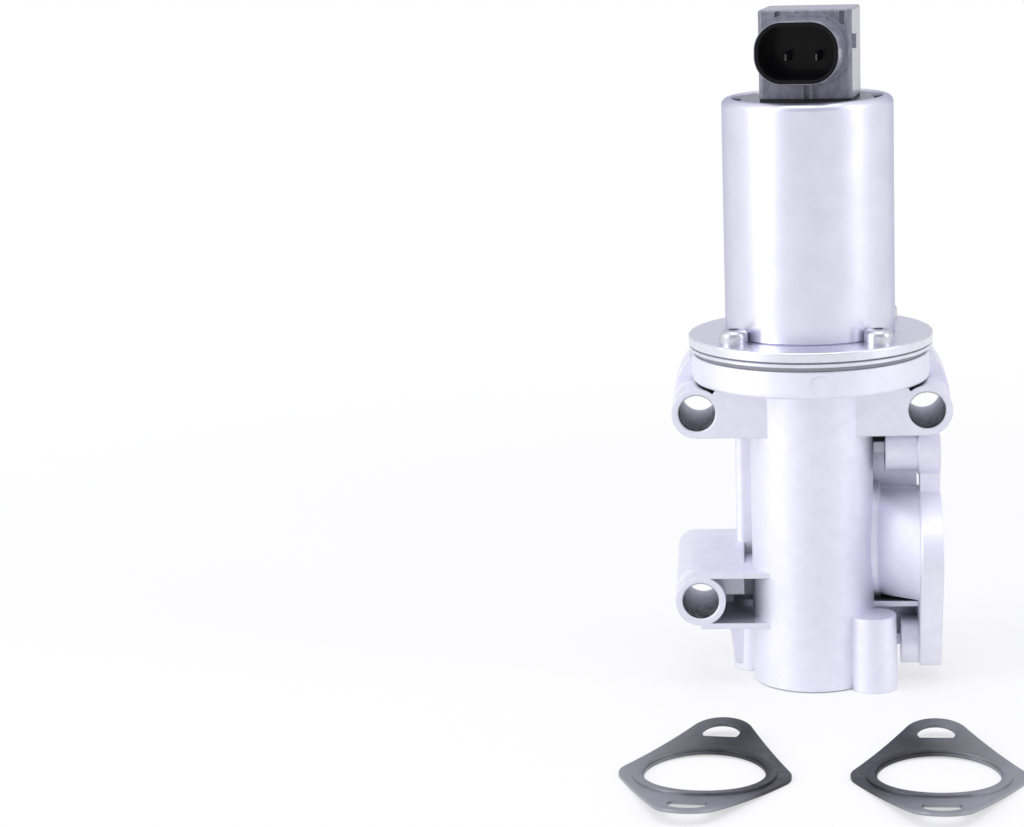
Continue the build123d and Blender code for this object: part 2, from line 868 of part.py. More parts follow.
def guide_tube():
    return ring(tube_inner_radius, tube_outer_radius, spigot_top + bobbin_flange,
                top_plate_bottom)


def armature():
    """The iron plunger on the stem, with vent grooves down its side."""
    bore = stem_top_radius + slip
    body = turned([
        (bore, armature_bottom, 0),
        (armature_radius - machined_edge, armature_bottom, 0),
        (armature_radius, armature_bottom + machined_edge, 0),
        (armature_radius, armature_top - machined_edge, 0),
        (armature_radius - machined_edge, armature_top, 0),
        (bore, armature_top, 0),
    ])
    for i in range(armature_vents):
        groove = Pos(armature_radius, 0) * cylinder(armature_vent_radius, armature_bottom - past,
                                                    armature_top + past)
        body -= turned_about_z(groove, i * 360 / armature_vents)
    return body


def coil_bobbin():
    outer = can_bore_radius - bobbin_outer_gap
    return turned([
        (bobbin_bore_radius, bobbin_bottom, 0),
        (outer, bobbin_bottom, 0),
        (outer, bobbin_bottom + bobbin_flange, 0),
        (bobbin_core_radius, bobbin_bottom + bobbin_flange, 0),
        (bobbin_core_radius, bobbin_top - bobbin_flange, 0),
        (outer, bobbin_top - bobbin_flange, 0),
        (outer, bobbin_top, 0),
        (bobbin_bore_radius, bobbin_top, 0),
    ])


def coil_winding():
    outer = can_bore_radius - bobbin_outer_gap - winding_setback
    return ring(bobbin_core_radius + slip, outer, bobbin_bottom + bobbin_flange,
                bobbin_top - bobbin_flange)


def leg_spots():
    return [(side * leg_x, leg_y) for side in (-1, 1)]


def top_plate():
    """The iron plate that closes the can, with the upper pole hub and the bearing's bore."""
    hub = tube_inner_radius - slip
    bore = bearing_radius + slip
    outer = can_bore_radius - slip
    plate = turned([
        (bore, hub_bottom, 0),
        (hub - machined_edge, hub_bottom, 0),
        (hub, hub_bottom + machined_edge, 0),
        (hub, top_plate_bottom, 0),
        (outer, top_plate_bottom, 0),
        (outer, top_plate_top, 0),
        (bore, top_plate_top, 0),
    ])
    for turn in (0, 180):
        plate -= turned_about_z(rim_notch(), turn)
    for x, y in leg_spots():
        hole = cylinder(post_radius + post_clearance, top_plate_bottom - past,
                        top_plate_top + past)
        plate -= turned_about_z(Pos(x, y) * hole, head_turn)
    return plate


def rim_notch():
    """A relief at the plate's rim, seen as a dark gap inside the rolled lip."""
    inner = can_bore_radius - can_lip - plate_notch_width
    band = ring(inner, can_bore_radius + past, top_plate_bottom - past, top_plate_top + past)
    half_width = can_radius * math.sin(math.radians(plate_notch_half_angle))
    window = upright(Pos(can_radius, 0) * Rectangle(can_radius, 2 * half_width),
                     top_plate_bottom - past, top_plate_top + past)
    return band & window


def stem_bearing():
    return ring(stem_top_radius + guide_clearance, bearing_radius, hub_bottom,
                top_plate_top)


# Connector head

def in_head_place(shape):
    return turned_about_z(shape, head_turn)


def socket_outline(grow):
    return RectangleRounded(socket_width + 2 * grow, socket_tall + 2 * grow,
                            socket_corner + grow)


def head_pad():
    """A thin rubber sheet between the head and the top plate."""
    pad = upright(Pos(head_offset, 0) * Rectangle(head_width - 2 * head_pad_setback,
                                                  head_depth - 2 * head_pad_setback),
                  top_plate_top, head_foot)
    for x, y in leg_spots():
        pad -= Pos(x, y) * cylinder(post_radius + post_clearance, top_plate_top - past,
                                    head_foot + past)
    return in_head_place(pad)


def head_block():
    block = upright(Pos(head_offset, 0) * Rectangle(head_width, head_depth), head_foot,
                    head_foot + head_height)
    block = fillet(block.edges().filter_by(Axis.Z), head_round)
    block = chamfer(block.faces().sort_by(Axis.Z)[-1].edges(), machined_edge)
    for side in (-1, 1):
        notch = Pos(notch_offset + side * notch_spacing / 2, head_front,
                    head_foot + head_height - notch_tall / 2 - machined_edge)
        block -= notch * Box(notch_width, 2 * notch_deep, notch_tall)
        rib = Pos(head_offset + socket_offset + side * foot_rib_gap / 2, head_front,
                  (head_foot + socket_z - socket_tall / 2) / 2)
        block += rib * Box(foot_rib_width, 2 * foot_rib_proud,
                           socket_z - socket_tall / 2 - head_foot)
    nub = Pos(head_offset + head_width / 2, head_front + nub_width, socket_z + nub_tall / 2)
    block += nub * Box(2 * nub_proud, nub_width, nub_tall)
    return block


def socket():
    """The open shroud that the plug slides into, with a collar round its root."""
    spot = Pos(socket_offset, socket_z)
    shroud = along_y(spot * socket_outline(0), socket_mouth, head_front + past)
    mouth_edges = shroud.faces().sort_by(Axis.Y)[0].edges()
    shroud = fillet(mouth_edges, socket_wall / 4)
    collar = along_y(spot * socket_outline(collar_width), head_front - collar_height,
                     head_front + past)
    return shroud + collar


def socket_hollow():
    spot = Pos(socket_offset, socket_z)
    return along_y(spot * socket_outline(-socket_wall), socket_mouth - past,
                   socket_mouth + socket_depth)


def terminal_path(side, grow):
    """One terminal: blade, cross strip and leg, grown all round by the given amount."""
    blade_x = socket_offset + side * pin_spacing / 2
    tip = socket_mouth + pin_setback
    g = 2 * grow
    blade = Pos(blade_x, (tip + leg_y + leg_size / 2) / 2, pin_z) * Box(
        pin_thickness + g, leg_y + leg_size / 2 - tip + g, pin_tall + g)
    strip_start = min(blade_x - pin_thickness / 2, side * leg_x - leg_size / 2)
    strip_end = max(blade_x + pin_thickness / 2, side * leg_x + leg_size / 2)
    strip = Pos((strip_start + strip_end) / 2, leg_y, pin_z) * Box(
        strip_end - strip_start + g, leg_size + g, pin_tall + g)
    leg_top = pin_z + pin_tall / 2
    leg = Pos(side * leg_x, leg_y, (leg_top + bobbin_top) / 2) * Box(
        leg_size + g, leg_size + g, leg_top - bobbin_top + g)
    return blade + strip + leg


def connector_head():
    """The moulded head: block, socket and two posts that reach through the top plate."""
    head = head_block() + socket() - socket_hollow()
    for x, y in leg_spots():
        head += Pos(x, y) * cylinder(post_radius, bobbin_top + post_clearance,
                                     head_foot + past)
    for side in (-1, 1):
        head -= terminal_path(side, slip)
    return in_head_place(head)


def terminal_pins():
    pins = []
    for side in (-1, 1):
        pin = terminal_path(side, 0)
        tip = pin.faces().sort_by(Axis.Y)[0].edges()
        pins.append(in_head_place(chamfer(tip, pin_thickness / 4)))
    return Compound(children=pins)


# Loose gaskets

def bowed_sheet(thickness):
    """A sheet bowed along Y that touches the ground along its middle."""
    bow = port_gasket_bow_radius
    reach = port_bolt_spacing / 2 + port_gasket_ear_radius + port_gasket_trim
    disc = Circle(bow) - Circle(bow - thickness)
    strip = (Pos(0, bow) * disc) & (Pos(0, reach / 2) * Rectangle(2 * reach, reach))
    return along_x(strip, -port_half_width - port_gasket_trim, port_half_width + port_gasket_trim)


def port_gasket(place):
    """A two-bolt gasket with a raised bead round its bore and flat-sided screw holes."""
    outline = port_outline(port_gasket_ear_radius, port_bolt_spacing)
    outline -= Circle(port_gasket_bore_radius)
    for side in (-1, 1):
        spot = Pos(0, side * port_bolt_spacing / 2)
        width = 2 * port_gasket_hole_radius
        keep = Pos(0, side * (port_gasket_hole_radius - port_gasket_hole_flat))
        hole = Circle(port_gasket_hole_radius) & (keep * Rectangle(width, width))
        outline -= spot * hole
    height = port_bolt_spacing / 2
    plate = bowed_sheet(port_gasket_thickness) & upright(outline, -past, height)
    bead_inner = port_gasket_bore_radius + bead_setback
    bead = ring(bead_inner, bead_inner + bead_width, -past, height)
    plate += bowed_sheet(port_gasket_thickness + bead_height) & bead
    x, y, angle = place
    return Pos(x, y) * turned_about_z(plate, -angle)


# Write every piece to its own file

def pieces():
    return {
        "valve_housing": valve_housing(),
        "valve_seat": valve_seat(),
        "stem_guide": stem_guide(),
        "stem_seal": stem_seal(),
        "spring_washer": spring_washer(),
        "return_spring": return_spring(),
        "housing_gasket": housing_gasket(),
        "spacer_plate": spacer_plate(),
        "solenoid_gasket": solenoid_gasket(),
        "solenoid_flange": solenoid_flange(),
        "flange_screws": flange_screws(),
        "solenoid_can": solenoid_can(),
        "pole_piece": pole_piece(),
        "pole_shim": pole_shim(),
        "guide_tube": guide_tube(),
        "coil_bobbin": coil_bobbin(),
        "coil_winding": coil_winding(),
        "top_plate": top_plate(),
        "stem_bearing": stem_bearing(),
        "head_pad": head_pad(),
        "connector_head": connector_head(),
        "terminal_pins": terminal_pins(),
        "valve_stem": valve_stem(),
        "valve_disc": valve_disc(),
        "spring_retainer": spring_retainer(),
        "retainer_clip": retaining_clip(stem_radius, retainer_top),
        "armature": armature(),
        "armature_clip": retaining_clip(stem_top_radius, armature_top),
        "side_port_gasket": port_gasket(left_gasket_place),
        "spare_port_gasket": port_gasket(right_gasket_place),
    }


os.makedirs("parts", exist_ok=True)
for name, shape in pieces().items():
    export_step(shape, f"parts/{name}.step")
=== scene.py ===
import json
import math

import bpy
from mathutils import Matrix, Vector


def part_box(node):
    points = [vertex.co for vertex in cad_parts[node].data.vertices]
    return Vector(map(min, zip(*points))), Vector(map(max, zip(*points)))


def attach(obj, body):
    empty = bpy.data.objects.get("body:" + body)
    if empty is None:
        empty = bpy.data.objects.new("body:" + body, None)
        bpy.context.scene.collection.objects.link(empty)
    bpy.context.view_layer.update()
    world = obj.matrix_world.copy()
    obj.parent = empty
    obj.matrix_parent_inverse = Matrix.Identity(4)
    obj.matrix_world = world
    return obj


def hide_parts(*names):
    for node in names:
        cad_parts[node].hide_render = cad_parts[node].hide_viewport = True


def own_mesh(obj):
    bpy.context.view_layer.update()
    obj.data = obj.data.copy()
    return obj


# Looks of the exhaust gas valve: finishes, drawn spring, camera and studio.
# Lengths are in metres unless a name ends in MM or mm.

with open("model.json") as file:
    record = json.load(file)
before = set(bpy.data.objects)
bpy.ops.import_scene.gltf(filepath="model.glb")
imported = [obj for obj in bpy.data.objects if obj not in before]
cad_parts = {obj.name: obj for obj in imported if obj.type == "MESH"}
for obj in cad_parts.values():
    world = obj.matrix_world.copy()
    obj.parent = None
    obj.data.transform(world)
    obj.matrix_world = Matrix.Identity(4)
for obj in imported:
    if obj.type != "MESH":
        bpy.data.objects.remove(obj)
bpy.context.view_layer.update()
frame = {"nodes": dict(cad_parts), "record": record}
nodes = frame["nodes"]

MM = 0.001

# Camera: its place, its turns in radians and its lens, which match the photograph's view
CAMERA_PLACE = Vector((-5.45, -690.05, 216.14)) * MM
CAMERA_YAW = -0.1009
CAMERA_PITCH = 0.2082
CAMERA_ROLL = -0.0358
FOCAL_PIXELS = 2799.7
IMAGE_WIDTH = 1024
SENSOR_WIDTH = 36.0
NEAREST_SEEN = 0.01
FARTHEST_SEEN = 50.0

# Plug socket: its outline, how far inside that outline its near-black painted shade starts, and how
# far behind its mouth the painted shade goes
SOCKET_WIDTH_MM = 20.4
SOCKET_HEIGHT_MM = 15.0
SOCKET_CORNER_MM = 6.8
SOCKET_RIM_MM = 0.2
SOCKET_DEEPEST_MM = 20.0

# Casting: the box of painted shade in the recess between the lower lug and the barrel, behind the
# edges of its two ribs, and how far past the lug bores' walls their painted shade reaches
SHADED_POCKET_MM = ((-28.0, -10.5, 16.9), (-14.8, 9.6, 29.0))
POCKET_EDGE_MM = 0.01
BORE_SPARE_MM = 0.05

# Return spring
SPRING_WIRE_MM = 1.4
SPRING_TURNS = 5
SPRING_STEPS_PER_TURN = 36

# The two loose gaskets: the place on the floor that their painted shade is darkest around, where
# painted light starts to take over and where it is full, and how their sharp edges are rounded
LOOSE_GASKETS = ("side_port_gasket", "spare_port_gasket")
GASKETS_SHADE_CENTRE = (0.0, -0.069, 0.0)
GASKETS_SHADED_WITHIN_MM = 24
GASKETS_LIT_BEYOND_MM = 46
GASKET_ROUNDING_MM = 0.35
GASKET_ROUNDING_STEPS = 3
SHARP_ANGLE_DEGREES = 40
WELD_MM = 0.002

# Copper winding
WIRE_PITCH_MM = 0.45

# Surroundings as they are mirrored: on the camera's side, from a share of the way to the far
# side, and on the far side. Then the even light that falls on matt surfaces.
MIRRORED_NEAR = (0.56, 0.555, 0.66, 1.0)
MIRRORED_BESIDE = (1.0, 1.0, 1.0, 1.0)
MIRRORED_BESIDE_AT = 0.60
MIRRORED_FAR = (0.66, 0.66, 0.74, 1.0)
EVEN_LIGHT_COLOUR = (0.94, 0.935, 1.0, 1.0)
EVEN_LIGHT_STRENGTH = 0.76

# Table top: matt with a share of plain white, which grows from near the valve outwards
TABLE_HALF_WIDTH = 6.0
TABLE_COLOUR = (0.9, 0.9, 0.91, 1.0)
TABLE_WHITE = (1.0, 1.0, 1.0, 1.0)
TABLE_WHITE_SHARE_NEAR = 0.55
TABLE_NEAR = 0.10
TABLE_ALL_WHITE_BEYOND = 0.45

# The point that the softboxes are aimed at
SOFTBOX_AIM = Vector((0, 0, 0.09))

# Tints of the greys
NEUTRAL = (1.0, 1.0, 1.0)
COOL = (0.915, 0.912, 1.0)
CAN_TINT = (0.875, 0.88, 1.0)
PLASTIC_TINT = (0.78, 0.80, 1.0)


def grey(value, tint=NEUTRAL):
    return tuple(value * share for share in tint) + (1.0,)


# Shader nodes

def colour_socket(sockets, name):
    """A mix node has sockets of one name for each kind of data; this is the colour one."""
    return next(s for s in sockets if s.name == name and s.type == "RGBA")


class Nodes:
    """A node tree under construction, started empty."""

    def __init__(self, tree):
        self.tree = tree
        self.tree.nodes.clear()

    def add(self, kind, **settings):
        node = self.tree.nodes.new(kind)
        for name, value in settings.items():
            setattr(node, name, value)
        return node

    def link(self, source, target):
        self.tree.links.new(source, target)

    def feed(self, socket, value):
        """Put a constant on a socket, or join an output to it."""
        if isinstance(value, bpy.types.NodeSocket):
            self.link(value, socket)
        else:
            socket.default_value = value

    def coordinates(self, kind):
        return self.add("ShaderNodeTexCoord").outputs[kind]

    def component(self, vector, axis):
        parts = self.add("ShaderNodeSeparateXYZ")
        self.link(vector, parts.inputs["Vector"])
        return parts.outputs[axis]

    def spread(self, value, low, high, to_low=0.0, to_high=1.0, curve="LINEAR"):
        """Maps low..high onto to_low..to_high and holds the ends beyond."""
        node = self.add("ShaderNodeMapRange", interpolation_type=curve)
        self.link(value, node.inputs["Value"])
        for socket, number in (("From Min", low), ("From Max", high),
                               ("To Min", to_low), ("To Max", to_high)):
            node.inputs[socket].default_value = number
        return node.outputs["Result"]

    def calculate(self, operation, *values):
        node = self.add("ShaderNodeMath", operation=operation)
        for socket, value in zip(node.inputs, values):
            self.feed(socket, value)
        return node.outputs["Value"]

    def times(self, a, b):
        return self.calculate("MULTIPLY", a, b)

    def sum(self, a, b, share=1.0):
        """a plus a share of b."""
        return self.calculate("MULTIPLY_ADD", b, share, a)

    def less(self, value, limit):
        return self.calculate("LESS_THAN", value, limit)

    def chain(self, source, *steps):
        """A vector taken through one vector operation after another."""
        for operation, operand in steps:
            node = self.add("ShaderNodeVectorMath", operation=operation)
            self.link(source, node.inputs[0])
            if operand is not None:
                node.inputs[1].default_value = operand
            source = node.outputs["Value" if operation == "LENGTH" else "Vector"]
        return source

    def mix_shaders(self, share, first, second):
        node = self.add("ShaderNodeMixShader")
        self.link(share, node.inputs["Fac"])
        self.link(first, node.inputs[1])
        self.link(second, node.inputs[2])
        return node.outputs["Shader"]

    def showing_rays(self):
        """1 for rays that show or mirror a surface and 0 for those that light a matt one."""
        path = self.add("ShaderNodeLightPath")
        seen = self.calculate("MAXIMUM", path.outputs["Is Camera Ray"], path.outputs["Is Glossy Ray"])
        return self.calculate("MAXIMUM", seen, path.outputs["Is Transmission Ray"])


class Finish(Nodes):
    """One material under construction: a Principled shader and the nodes that feed it."""

    def __init__(self, name, **settings):
        self.material = bpy.data.materials.new(name)
        self.material.use_nodes = True
        super().__init__(self.material.node_tree)
        self.shader = self.add("ShaderNodeBsdfPrincipled")
        output = self.add("ShaderNodeOutputMaterial")
        self.link(self.shader.outputs["BSDF"], output.inputs["Surface"])
        for socket, value in settings.items():
            self.shader.inputs[socket.replace("_", " ")].default_value = value
        self.place = self.coordinates("Object")

    # Patterns

    def stretched(self, x, y, z):
        """The object's coordinates, scaled by a factor along each axis."""
        node = self.add("ShaderNodeMapping")
        self.link(self.place, node.inputs["Vector"])
        node.inputs["Scale"].default_value = (x, y, z)
        return node.outputs["Vector"]

    def noise(self, size_mm, detail=3.0, roughness=0.55, place=None):
        """Noise whose blotches are about size_mm across."""
        node = self.add("ShaderNodeTexNoise")
        self.link(place or self.place, node.inputs["Vector"])
        node.inputs["Scale"].default_value = 1 / (size_mm * MM)
        node.inputs["Detail"].default_value = detail
        node.inputs["Roughness"].default_value = roughness
        return node.outputs["Fac"]

    def pits(self, size_mm):
        """Distance to the nearest of many scattered points, for shot-blasted or moulded grain."""
        node = self.add("ShaderNodeTexVoronoi")
        self.link(self.place, node.inputs["Vector"])
        node.inputs["Scale"].default_value = 1 / (size_mm * MM)
        return node.outputs["Distance"]

    def wire_turns(self, pitch_mm):
        """Bands along Z, one for each turn of a close winding."""
        node = self.add("ShaderNodeTexWave", wave_type="BANDS", bands_direction="Z")
        self.link(self.place, node.inputs["Vector"])
        node.inputs["Scale"].default_value = 1 / (pitch_mm * MM) * math.pi / 10
        node.inputs["Distortion"].default_value = 0.3
        return node.outputs["Fac"]

    # Regions of the surface

    def along(self, axis, start_mm, end_mm):
        """0 to 1 between two places along an axis."""
        return self.spread(self.component(self.place, axis), start_mm * MM, end_mm * MM)

    def from_point(self, centre):
        """Distance from a point, seen from above."""
        return self.chain(self.place,
                          ("SUBTRACT", centre),
                          ("MULTIPLY", (1, 1, 0)),
                          ("LENGTH", None))

    def in_bores(self, bores, spare_mm):
        """1 within bores along Y, and a little past their walls, and 0 elsewhere."""
        total = None
        for centre, radius in bores:
            away = self.chain(self.place,
                              ("SUBTRACT", centre),
                              ("MULTIPLY", (1, 0, 1)),
                              ("LENGTH", None))
            inside = self.less(away, radius + spare_mm * MM)
            total = inside if total is None else self.sum(total, inside)
        return total

    def in_box(self, low_mm, high_mm):
        """1 inside a box between two corners and 0 elsewhere."""
        low, high = Vector(low_mm) * MM, Vector(high_mm) * MM
        outside = self.chain(self.place,
                             ("SUBTRACT", (low + high) / 2),
                             ("ABSOLUTE", None),
                             ("SUBTRACT", (high - low) / 2),
                             ("MAXIMUM", (0, 0, 0)),
                             ("LENGTH", None))
        return self.less(outside, POCKET_EDGE_MM * MM)

    def in_socket(self):
        """1 within the plug socket's outline, front rim included, and 0 elsewhere."""
        socket = next(row for row in frame["record"]["mounts"] if row["name"] == "plug_socket")
        local = self.add("ShaderNodeMapping", vector_type="TEXTURE")
        self.link(self.place, local.inputs["Vector"])
        local.inputs["Location"].default_value = socket["pos_m"]
        outward = socket["axis"]
        local.inputs["Rotation"].default_value = (0, 0, math.atan2(outward[0], -outward[1]))
        half_width = (SOCKET_WIDTH_MM / 2 - SOCKET_CORNER_MM) * MM
        half_height = (SOCKET_HEIGHT_MM / 2 - SOCKET_CORNER_MM) * MM
        outside = self.chain(local.outputs["Vector"],
                             ("ABSOLUTE", None),
                             ("SUBTRACT", (half_width, 0, half_height)),
                             ("MAXIMUM", (0, 0, 0)),
                             ("MULTIPLY", (1, 0, 1)),
                             ("LENGTH", None))
        depth = self.component(local.outputs["Vector"], "Y")
        return self.times(self.less(outside, (SOCKET_CORNER_MM - SOCKET_RIM_MM) * MM),
                          self.less(depth, SOCKET_DEEPEST_MM * MM))

    def openness(self, reach_mm):
        """How much of the space near a point is free: 0 deep in a recess, 1 in the open."""
        node = self.add("ShaderNodeAmbientOcclusion", samples=8)
        node.inputs["Distance"].default_value = reach_mm * MM
        return node.outputs["AO"]

    # Colours and gloss

    def blend(self, factor, first, second):
        """A colour between two colours."""
        node = self.add("ShaderNodeMix", data_type="RGBA")
        self.feed(node.inputs["Factor"], factor)
        self.feed(colour_socket(node.inputs, "A"), first)
        self.feed(colour_socket(node.inputs, "B"), second)
        return colour_socket(node.outputs, "Result")

    def mottle(self, pattern, first, second, low=0.3, high=0.7):
        """The first colour where the pattern is low and the second where it is high."""
        return self.blend(self.spread(pattern, low, high), first, second)

    def colour(self, value):
        self.link(value, self.shader.inputs["Base Color"])

    def rough(self, pattern, least, most, low=0.3, high=0.7):
        """Roughness from least to most as the pattern rises from low to high."""
        self.link(self.spread(pattern, low, high, least, most), self.shader.inputs["Roughness"])

    def divide(self, socket, region, outside, inside):
        """One value of a shader socket outside a region and another inside it."""
        self.link(self.spread(region, 0.0, 1.0, outside, inside), self.shader.inputs[socket])

    # Relief

    def round_edges(self, radius_mm):
        """The surface's direction with sharp edges rounded, as a casting leaves them."""
        node = self.add("ShaderNodeBevel", samples=6)
        node.inputs["Radius"].default_value = radius_mm * MM
        return node.outputs["Normal"]

    def bump(self, height, depth_mm, strength=1.0, over=None):
        node = self.add("ShaderNodeBump")
        self.link(height, node.inputs["Height"])
        node.inputs["Distance"].default_value = depth_mm * MM
        node.inputs["Strength"].default_value = strength
        if over is not None:
            self.link(over, node.inputs["Normal"])
        return node.outputs["Normal"]

    def relief(self, normal):
        self.link(normal, self.shader.inputs["Normal"])
        return self.material


# Finishes

def lug_bores():
    """Centre and radius in metres of each mounting hole through the casting, from the record."""
    return [(row["pos_m"], row["dims"]["r_mm"] * MM)
            for row in frame["record"]["mounts"] if row["kind"] == "bore"]


def cast_aluminium():
    """Shot-blasted casting: fine grain over slow waves, with painted shade in recesses, in the pocket
    by the lower lug and in the lug bores.
    """
    look = Finish("cast_aluminium", Metallic=1.0)
    blotch = look.noise(3.5, detail=4.0, roughness=0.6)
    skin = look.mottle(blotch, grey(0.95, COOL), grey(0.91, COOL), low=0.35)
    # Painted shade: the colour darkens deep in recesses, where little space around is free
    recess = look.openness(reach_mm=7.0)
    skin = look.mottle(recess, grey(0.22, COOL), skin, low=0.06, high=0.34)
    # Painted shade: a darker grey inside the box of the recess by the lower lug
    skin = look.blend(look.in_box(*SHADED_POCKET_MM), skin, grey(0.68, COOL))
    # Painted shade in the lug bores: near black and blotchy by their front mouths, lighter deeper in
    bore_shade_blotch = look.noise(1.3, detail=3.0, roughness=0.7)
    bore_shade_depth = look.sum(look.along("Y", -10.0, 4.0), bore_shade_blotch, share=1.2)
    bore_painted_shade = look.mottle(bore_shade_depth, grey(0.04, COOL), grey(0.85, COOL), low=0.6, high=1.5)
    bored = look.in_bores(lug_bores(), BORE_SPARE_MM)
    look.colour(look.blend(bored, skin, bore_painted_shade))
    look.divide("Metallic", bored, outside=1.0, inside=0.0)
    look.divide("Specular IOR Level", bored, outside=0.5, inside=0.1)
    look.rough(blotch, 0.56, 0.64)
    waves = look.bump(look.noise(9.0, detail=2.0), 0.35, 0.2, over=look.round_edges(0.5))
    grain = look.bump(look.pits(0.42), 0.05, 0.5, over=waves)
    return look.relief(look.bump(look.noise(0.25, detail=2.0), 0.03, 0.45, over=grain))


def can_steel():
    """Deep-drawn can with a satin nickel finish and faint lines along the draw."""
    look = Finish("can_steel", Metallic=1.0, Specular_Tint=grey(0.74, CAN_TINT))
    draw = look.noise(0.35, roughness=0.6, place=look.stretched(1.0, 1.0, 0.06))
    sand = look.noise(0.3, roughness=0.6)
    cloud = look.noise(7.0)
    look.colour(look.mottle(cloud, grey(0.90, CAN_TINT), grey(0.85, CAN_TINT), low=0.35, high=0.65))
    look.rough(look.sum(cloud, sand, share=0.5), 0.32, 0.40, low=0.5, high=1.0)
    lines = look.bump(draw, 0.012, 0.5)
    return look.relief(look.bump(sand, 0.012, 0.6, over=lines))


def plate_steel():
    """Zinc-plated pressed steel, bright with slight mottling."""
    look = Finish("plate_steel", Metallic=1.0)
    cloud = look.noise(2.5, detail=4.0, roughness=0.6)
    look.colour(look.mottle(cloud, grey(0.92, COOL), grey(0.84, COOL)))
    look.rough(cloud, 0.28, 0.42)
    return look.relief(look.bump(look.noise(0.4, detail=2.0), 0.015, 0.5))


def dull_plate():
    """The solenoid's top plate: the same steel, coloured much darker all over."""
    look = Finish("dull_plate", Metallic=1.0)
    cloud = look.noise(1.8, detail=4.0, roughness=0.6)
    look.colour(look.mottle(cloud, grey(0.40, COOL), grey(0.27, COOL)))
    look.rough(cloud, 0.30, 0.45)
    return look.relief(look.bump(look.noise(0.4, detail=2.0), 0.015, 0.5))


def zinc_screw():
    """Zinc-plated screws with fine scratches along their length."""
    look = Finish("zinc_screw", Metallic=1.0)
    cloud = look.noise(0.9, detail=4.0, roughness=0.6)
    scratch = look.noise(0.3, detail=2.0, roughness=0.6, place=look.stretched(1.0, 1.0, 0.2))
    look.colour(look.mottle(cloud, grey(0.78, COOL), grey(0.62, COOL)))
    look.rough(cloud, 0.22, 0.38)
    return look.relief(look.bump(scratch, 0.02, 0.5))


def dark_gasket():
    """Graphite-faced round gaskets."""
    look = Finish("dark_gasket", Metallic=0.3)
    flakes = look.noise(0.5, detail=4.0, roughness=0.7)
    look.colour(look.mottle(flakes, grey(0.30, COOL), grey(0.40, COOL), low=0.35, high=0.65))
    look.rough(flakes, 0.5, 0.75)
    return look.relief(look.bump(flakes, 0.03, 0.6))


def port_gasket_steel():
    """Rolled spring steel under a thin dark coat, with painted shade darkest near the valve and
    painted light towards the outer corners.
    """
    look = Finish("port_gasket_steel", Metallic=1.0)
    roll = look.noise(0.5, roughness=0.6, place=look.stretched(1.0, 0.12, 1.0))
    cloud = look.noise(4.0, detail=4.0, roughness=0.6)
    # Painted shade and light: darkest around a point in front of the valve, paler towards the
    # gaskets' outer corners
    outwards = look.spread(look.from_point(GASKETS_SHADE_CENTRE),
                           GASKETS_SHADED_WITHIN_MM * MM, GASKETS_LIT_BEYOND_MM * MM)
    pale = look.sum(outwards, cloud, share=0.35)
    look.colour(look.mottle(pale, grey(0.07, COOL), grey(0.42, COOL), low=0.2, high=1.2))
    look.rough(look.sum(cloud, roll, share=0.6), 0.36, 0.50, low=0.5, high=1.1)
    return look.relief(look.bump(roll, 0.012, 0.5))


def grey_plastic():
    """Glass-filled nylon of the connector head: glossy, mottled, with near-black painted shade down
    its socket and on its front rim.
    """
    look = Finish("grey_plastic", Coat_Roughness=0.08)
    fibre = look.noise(1.8, detail=4.0, roughness=0.6, place=look.stretched(1.0, 1.0, 0.5))
    skin = look.mottle(fibre, grey(0.19, PLASTIC_TINT), grey(0.31, PLASTIC_TINT),
                       low=0.35, high=0.65)
    # Painted shade: near black within the socket's outline, its front rim included
    socket = look.in_socket()
    look.colour(look.blend(socket, skin, grey(0.006, PLASTIC_TINT)))
    look.divide("Specular IOR Level", socket, outside=0.5, inside=0.12)
    look.divide("Coat Weight", socket, outside=0.25, inside=0.03)
    look.rough(fibre, 0.14, 0.28)
    grain = look.bump(look.pits(0.6), 0.02, 0.4, over=look.round_edges(0.35))
    return look.relief(look.bump(fibre, 0.10, 0.35, over=grain))


def terminal_tin():
    """Tin-plated pins, coloured dark as painted shade at the bottom of the socket."""
    look = Finish("terminal_tin", Metallic=1.0)
    cloud = look.noise(0.6)
    # Painted shade: the tin is coloured dark grey for the shade down the socket
    look.colour(look.blend(cloud, grey(0.13, COOL), grey(0.09, COOL)))
    look.rough(cloud, 0.22, 0.34)
    return look.relief(look.bump(cloud, 0.01, 0.3))


def rubber():
    """Black rubber with a little dust."""
    look = Finish("rubber")
    dust = look.noise(0.4, detail=4.0, roughness=0.7)
    look.colour(look.blend(dust, grey(0.018), grey(0.035)))
    look.rough(dust, 0.6, 0.8)
    return look.relief(look.bump(dust, 0.02, 0.5))


def bobbin_plastic():
    """Dark glass-filled plastic of the coil bobbin."""
    look = Finish("bobbin_plastic")
    fibre = look.noise(0.7, detail=4.0, roughness=0.6)
    look.colour(look.blend(fibre, grey(0.035), grey(0.06)))
    look.rough(fibre, 0.42, 0.55)
    return look.relief(look.bump(fibre, 0.02, 0.4))


def copper():
    """Enamelled copper wire laid in close turns."""
    look = Finish("copper", Metallic=1.0)
    cloud = look.noise(2.0)
    look.colour(look.blend(cloud, (0.75, 0.30, 0.13, 1.0), (0.58, 0.20, 0.08, 1.0)))
    look.rough(cloud, 0.25, 0.4)
    return look.relief(look.bump(look.wire_turns(WIRE_PITCH_MM), 0.2, 0.9))


def bronze():
    """Sintered bronze with open pores."""
    look = Finish("bronze", Metallic=1.0)
    cloud = look.noise(1.5, detail=4.0)
    look.colour(look.blend(cloud, (0.62, 0.42, 0.20, 1.0), (0.48, 0.31, 0.14, 1.0)))
    look.rough(cloud, 0.35, 0.5)
    return look.relief(look.bump(look.pits(0.25), 0.03, 0.4))


